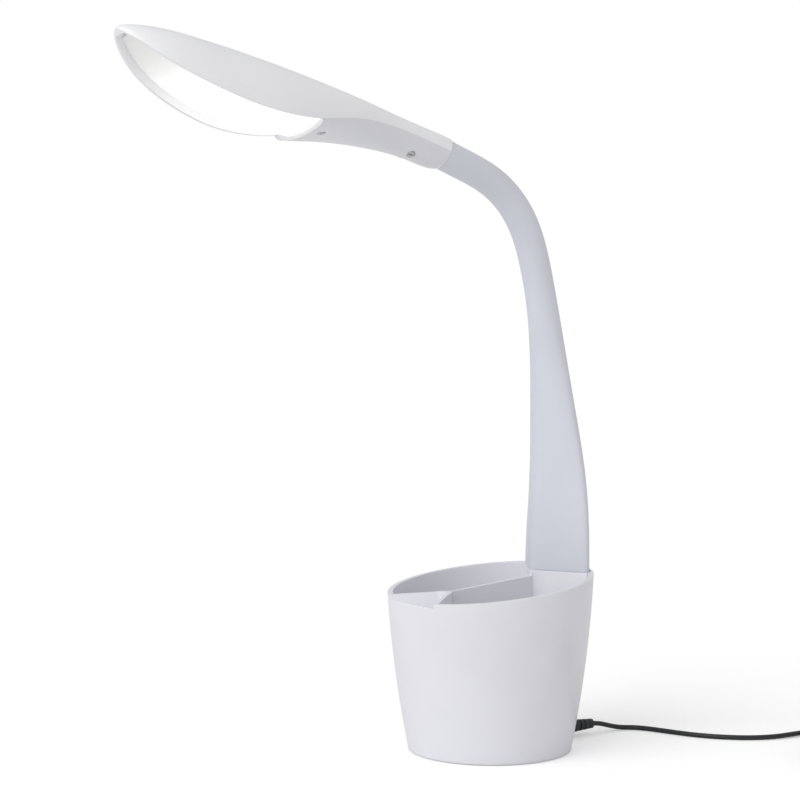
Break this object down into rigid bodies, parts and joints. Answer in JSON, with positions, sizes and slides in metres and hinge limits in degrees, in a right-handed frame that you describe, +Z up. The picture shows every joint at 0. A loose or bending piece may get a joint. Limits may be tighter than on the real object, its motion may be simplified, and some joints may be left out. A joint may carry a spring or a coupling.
{
  "type": "desk lamp with organizer base",
  "caption": "LED desk lamp: leaf-shaped head on a bendable sleeved neck that rises from a round, divided organizer cup with a touch niche, with cord and wall adapter.",
  "frame": {"origin": "centre of the round foot pad on the table, which is the cup's axis", "axes": "+Z up; -Y is the front, where the head reaches out and the niche is; the neck and the power socket are at the back, +Y; +X is the lamp's left as it faces its user"},
  "size_m": [0.2706, 0.5665, 0.495],
  "materials": {
    "cup_plastic": "satin",
    "head_plastic": "satin",
    "under_cover_plastic": "satin",
    "cover_plastic": "moulded",
    "foot_foam": "matte foam",
    "ballast_iron": "cast",
    "screw_steel": "zinc plated",
    "bracket_steel": "pressed",
    "nut_brass": "machined",
    "clamp_steel": "machined",
    "gooseneck_steel": "wound",
    "sleeve_silicone": "matte silicone",
    "lead_insulation": "smooth",
    "circuit_board": "solder mask",
    "led_board_white": "solder mask",
    "chip_plastic": "moulded",
    "touch_copper": "foil",
    "led_phosphor": "resin",
    "diffuser_plastic": "translucent",
    "socket_plastic": "moulded",
    "plug_rubber": "moulded",
    "cord_rubber": "smooth",
    "tie_plastic": "matte",
    "adapter_plastic": "moulded",
    "prong_metal": "nickel plated"
  },
  "bodies": {
    "base": {"base_cup": "cup_plastic", "bottom_cover": "cover_plastic", "foot_pad": "foot_foam", "ballast_plate": "ballast_iron", "cover_screws": "screw_steel", "control_board": "circuit_board", "board_chips": "chip_plastic", "board_screws": "screw_steel", "touch_plate": "touch_copper", "neck_bracket": "bracket_steel", "neck_nuts": "nut_brass", "bracket_screws": "screw_steel", "dc_jack": "socket_plastic", "dc_plug": "plug_rubber", "power_cord": "cord_rubber", "cord_coil": "cord_rubber", "coil_tie": "tie_plastic", "wall_adapter": "adapter_plastic", "adapter_prongs": "prong_metal", "base_lead": "lead_insulation", "neck_sleeve_1": "sleeve_silicone", "gooseneck_1": "gooseneck_steel", "neck_lead_1": "lead_insulation"},
    "neck_2": {"neck_sleeve_2": "sleeve_silicone", "gooseneck_2": "gooseneck_steel", "neck_lead_2": "lead_insulation"},
    "neck_3": {"neck_sleeve_3": "sleeve_silicone", "gooseneck_3": "gooseneck_steel", "neck_lead_3": "lead_insulation"},
    "neck_4": {"neck_sleeve_4": "sleeve_silicone", "gooseneck_4": "gooseneck_steel", "neck_lead_4": "lead_insulation"},
    "neck_5": {"neck_sleeve_5": "sleeve_silicone", "gooseneck_5": "gooseneck_steel", "neck_lead_5": "lead_insulation"},
    "head": {"neck_sleeve_6": "sleeve_silicone", "gooseneck_6": "gooseneck_steel", "neck_lead_6": "lead_insulation", "neck_clamp": "clamp_steel", "head_shell": "head_plastic", "under_cover": "under_cover_plastic", "head_screws": "screw_steel", "diffuser": "diffuser_plastic", "led_board": "led_board_white", "leds": "led_phosphor", "led_board_screws": "screw_steel", "head_lead": "lead_insulation"}
  },
  "joints": [
    {"name": "neck_bend_low", "type": "hinge", "parent": "base", "child": "neck_2", "pos_m": [0, 0.05391, 0.26127], "axis": [1, 0, 0], "range_deg": [-10, 10]},
    {"name": "neck_sway_low", "type": "hinge", "parent": "neck_2", "child": "neck_3", "pos_m": [0, 0.04844, 0.30392], "axis": [0, 0.9877, 0.1562], "range_deg": [-14, 14]},
    {"name": "neck_bend_mid", "type": "hinge", "parent": "neck_3", "child": "neck_4", "pos_m": [0, 0.04158, 0.33925], "axis": [1, 0, 0], "range_deg": [-18, 18]},
    {"name": "neck_sway_high", "type": "hinge", "parent": "neck_4", "child": "neck_5", "pos_m": [0, 0.03221, 0.3698], "axis": [0, 0.9178, 0.397], "range_deg": [-20, 20]},
    {"name": "neck_bend_high", "type": "hinge", "parent": "neck_5", "child": "head", "pos_m": [0, 0.01421, 0.396], "axis": [1, 0, 0], "range_deg": [-22, 22]}
  ]
}
